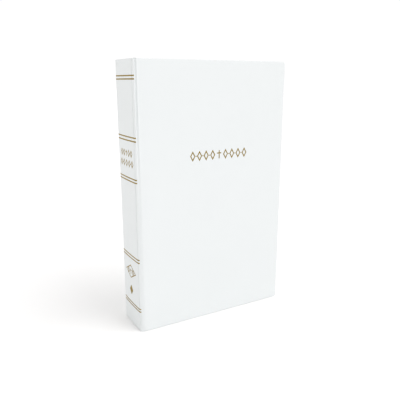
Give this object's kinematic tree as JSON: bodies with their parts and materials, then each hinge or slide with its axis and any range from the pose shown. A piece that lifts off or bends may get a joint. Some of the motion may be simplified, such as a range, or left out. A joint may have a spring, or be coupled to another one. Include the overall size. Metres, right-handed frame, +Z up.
{
  "type": "hardcover bible",
  "caption": "Closed case-bound hardcover bible standing on its tail edge: covers that open, sewn sections that fan out, head and tail bands.",
  "frame": {"origin": "on the surface the book stands on, under the middle of its outer box", "axes": "+Z up along the spine from tail to head, -X towards the spine, +X towards the fore-edge, -Y towards the front cover, +Y towards the back cover"},
  "size_m": [0.1424, 0.0376, 0.222],
  "materials": {
    "covering": "soft white coated covering with a fine grain and a slight sheen",
    "greyboard": "matte grey pulp board",
    "card": "matte buff card",
    "kraft": "matte brown kraft paper",
    "mull_cloth": "open starched gauze",
    "endpaper": "smooth heavy uncoated paper",
    "bible_paper": "thin cream printing paper",
    "band_cloth": "woven silk-like band with gold and white stripes"
  },
  "bodies": {
    "spine": {"spine_wrap": "covering", "spine_inlay": "card", "spine_lining": "kraft", "mull": "mull_cloth", "head_band": "band_cloth", "tail_band": "band_cloth", "front_joint": "covering", "back_joint": "covering"},
    "front_cover": {"front_board": "greyboard", "front_cover_wrap": "covering", "front_mull_flange": "mull_cloth", "front_pastedown": "endpaper"},
    "back_cover": {"back_board": "greyboard", "back_cover_wrap": "covering", "back_mull_flange": "mull_cloth", "back_pastedown": "endpaper"},
    "front_flyleaf": {"front_flyleaf": "endpaper"},
    "front_outer_leaves": {"section_01": "bible_paper", "section_02": "bible_paper", "section_03": "bible_paper", "section_04": "bible_paper"},
    "front_middle_leaves": {"section_05": "bible_paper", "section_06": "bible_paper", "section_07": "bible_paper", "section_08": "bible_paper"},
    "front_inner_leaves": {"section_09": "bible_paper", "section_10": "bible_paper", "section_11": "bible_paper", "section_12": "bible_paper"},
    "back_inner_leaves": {"section_13": "bible_paper", "section_14": "bible_paper", "section_15": "bible_paper", "section_16": "bible_paper"},
    "back_middle_leaves": {"section_17": "bible_paper", "section_18": "bible_paper", "section_19": "bible_paper", "section_20": "bible_paper"},
    "back_outer_leaves": {"section_21": "bible_paper", "section_22": "bible_paper", "section_23": "bible_paper", "section_24": "bible_paper"},
    "back_flyleaf": {"back_flyleaf": "endpaper"}
  },
  "joints": [
    {"name": "front_cover_hinge", "type": "hinge", "parent": "spine", "child": "front_cover", "pos_m": [-0.0695, -0.0182, 0], "axis": [0, 0, -1], "range_deg": [0, 180], "deforming": ["front_joint"]},
    {"name": "front_flyleaf_turn", "type": "hinge", "parent": "spine", "child": "front_flyleaf", "pos_m": [-0.06895, -0.015, 0], "axis": [0, 0, -1], "range_deg": [0, 88.1]},
    {"name": "front_outer_leaves_turn", "type": "hinge", "parent": "spine", "child": "front_outer_leaves", "pos_m": [-0.06895, -0.015, 0], "axis": [0, 0, -1], "range_deg": [0, 80]},
    {"name": "front_middle_leaves_turn", "type": "hinge", "parent": "spine", "child": "front_middle_leaves", "pos_m": [-0.06895, -0.01, 0], "axis": [0, 0, -1], "range_deg": [0, 38]},
    {"name": "front_inner_leaves_turn", "type": "hinge", "parent": "spine", "child": "front_inner_leaves", "pos_m": [-0.06895, -0.005, 0], "axis": [0, 0, -1], "range_deg": [0, 17]},
    {"name": "back_cover_hinge", "type": "hinge", "parent": "spine", "child": "back_cover", "pos_m": [-0.0695, 0.0182, 0], "axis": [0, 0, 1], "range_deg": [0, 180], "deforming": ["back_joint"]},
    {"name": "back_flyleaf_turn", "type": "hinge", "parent": "spine", "child": "back_flyleaf", "pos_m": [-0.06895, 0.015, 0], "axis": [0, 0, 1], "range_deg": [0, 88.1]},
    {"name": "back_outer_leaves_turn", "type": "hinge", "parent": "spine", "child": "back_outer_leaves", "pos_m": [-0.06895, 0.015, 0], "axis": [0, 0, 1], "range_deg": [0, 80]},
    {"name": "back_middle_leaves_turn", "type": "hinge", "parent": "spine", "child": "back_middle_leaves", "pos_m": [-0.06895, 0.01, 0], "axis": [0, 0, 1], "range_deg": [0, 38]},
    {"name": "back_inner_leaves_turn", "type": "hinge", "parent": "spine", "child": "back_inner_leaves", "pos_m": [-0.06895, 0.005, 0], "axis": [0, 0, 1], "range_deg": [0, 17]}
  ],
  "couplings": [
    {"joint": "front_flyleaf_turn", "follows": "front_cover_hinge", "ratio": 0.489},
    {"joint": "front_outer_leaves_turn", "follows": "front_cover_hinge", "ratio": 0.4444},
    {"joint": "front_middle_leaves_turn", "follows": "front_cover_hinge", "ratio": 0.2111},
    {"joint": "front_inner_leaves_turn", "follows": "front_cover_hinge", "ratio": 0.0944},
    {"joint": "back_flyleaf_turn", "follows": "back_cover_hinge", "ratio": 0.489},
    {"joint": "back_outer_leaves_turn", "follows": "back_cover_hinge", "ratio": 0.4444},
    {"joint": "back_middle_leaves_turn", "follows": "back_cover_hinge", "ratio": 0.2111},
    {"joint": "back_inner_leaves_turn", "follows": "back_cover_hinge", "ratio": 0.0944}
  ]
}
